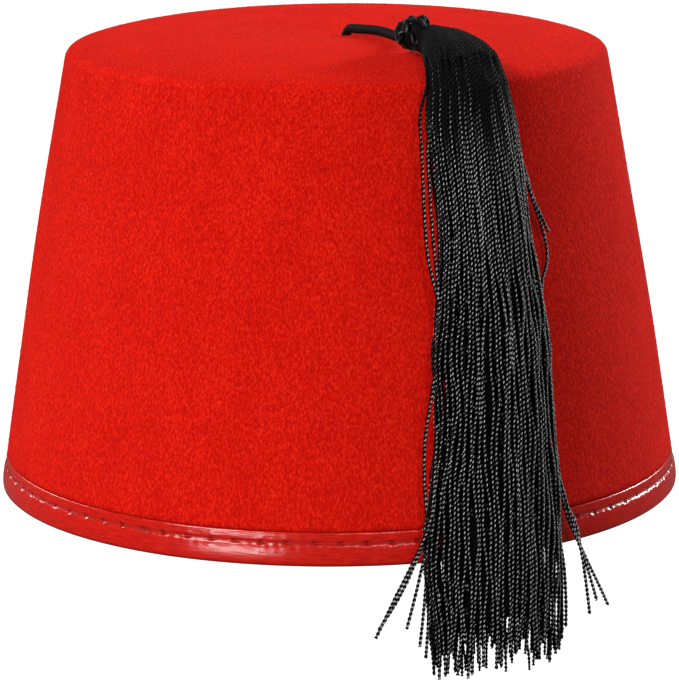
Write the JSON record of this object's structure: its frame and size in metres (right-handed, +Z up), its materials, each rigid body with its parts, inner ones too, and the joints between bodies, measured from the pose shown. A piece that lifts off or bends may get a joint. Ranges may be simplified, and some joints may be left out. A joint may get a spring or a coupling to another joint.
{
  "type": "fez",
  "caption": "Red felt fez with a flared straight side, a taped rim and a black tassel on a short cord.",
  "frame": {"origin": "middle of the head opening, level with the lowest edge of the rim", "axes": "+Z up through the crown, -Y to the front that the picture shows, +X to the right in that view, where the tassel hangs"},
  "size_m": [0.1878, 0.1947, 0.1661],
  "materials": {
    "felt": "pressed red felt, matt, with a short nap",
    "tape": "glossy red satin tape, folded and stitched",
    "rayon": "black twisted rayon, soft gloss"
  },
  "bodies": {
    "root": {"crown": "felt", "rim_binding": "tape", "tassel_cord": "rayon", "cord_stopper": "rayon", "tassel_head": "rayon", "tassel_skirt": "rayon"}
  },
  "joints": []
}
